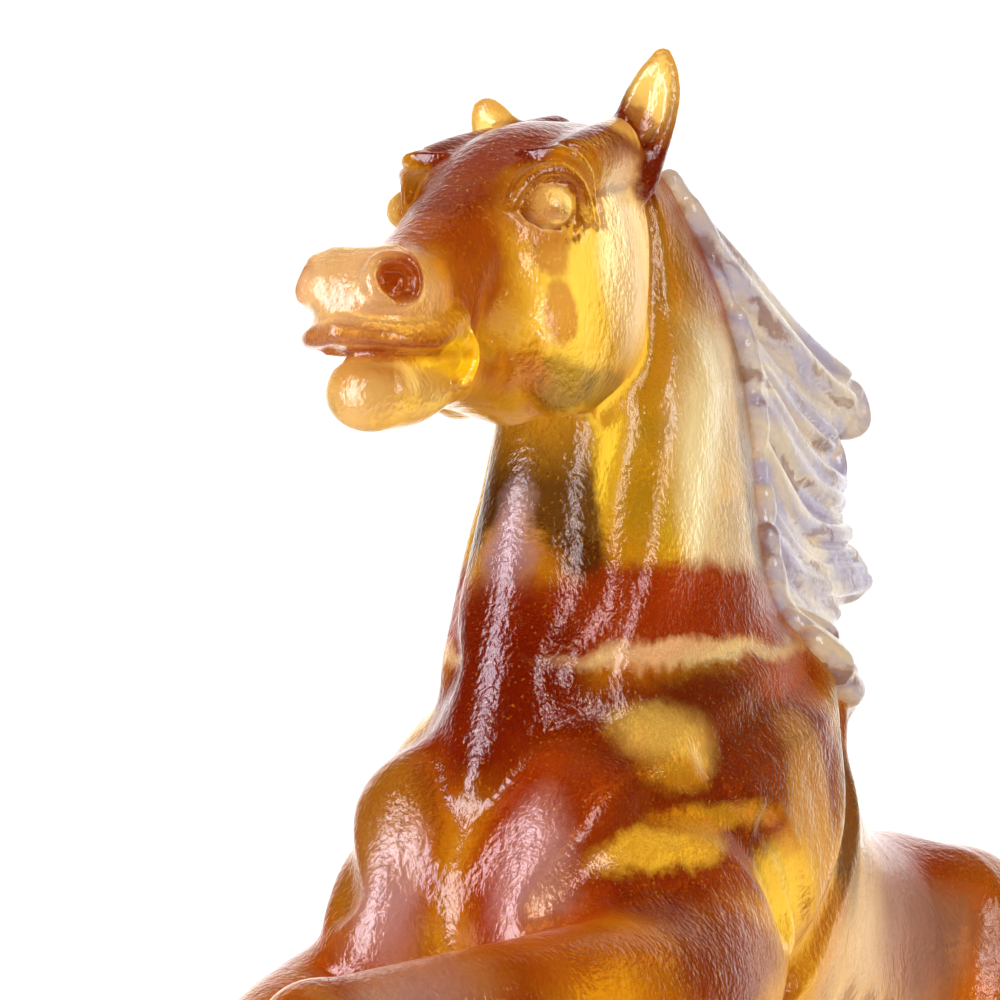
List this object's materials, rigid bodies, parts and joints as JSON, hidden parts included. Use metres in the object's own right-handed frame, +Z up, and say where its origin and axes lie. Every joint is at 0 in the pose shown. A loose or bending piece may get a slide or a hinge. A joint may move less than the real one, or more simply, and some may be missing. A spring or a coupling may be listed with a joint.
{
  "type": "crystal glass figurine",
  "caption": "Rearing horse in cast amber glass with a clear flowing mane and tail, standing on an oval clear glass base with bumpers.",
  "frame": {"origin": "on the table, under the middle of the figurine's box, with the bumpers' undersides at z = 0", "axes": "-X is forward, the way the horse looks, -Y is the horse's left side and +Z is up"},
  "size_m": [0.345, 0.1, 0.3264],
  "materials": {
    "amber_glass": "fire-polished cast glass, amber with rust-red clouds and yellow to cream patches, slightly rippled surface",
    "smoky_glass": "cast glass, clear to smoky grey with cream and rust wisps, grooved like hair",
    "clear_glass": "cast glass, clear with a faint straw tint, carved like rock on top and ground flat underneath",
    "bumper_clear": "clear polyurethane, satin"
  },
  "bodies": {
    "root": {"horse_casting": "amber_glass", "mane_casting": "smoky_glass", "tail_casting": "smoky_glass", "base_casting": "clear_glass", "bumper_front_left": "bumper_clear", "bumper_front_right": "bumper_clear", "bumper_rear_left": "bumper_clear", "bumper_rear_right": "bumper_clear"}
  },
  "joints": []
}
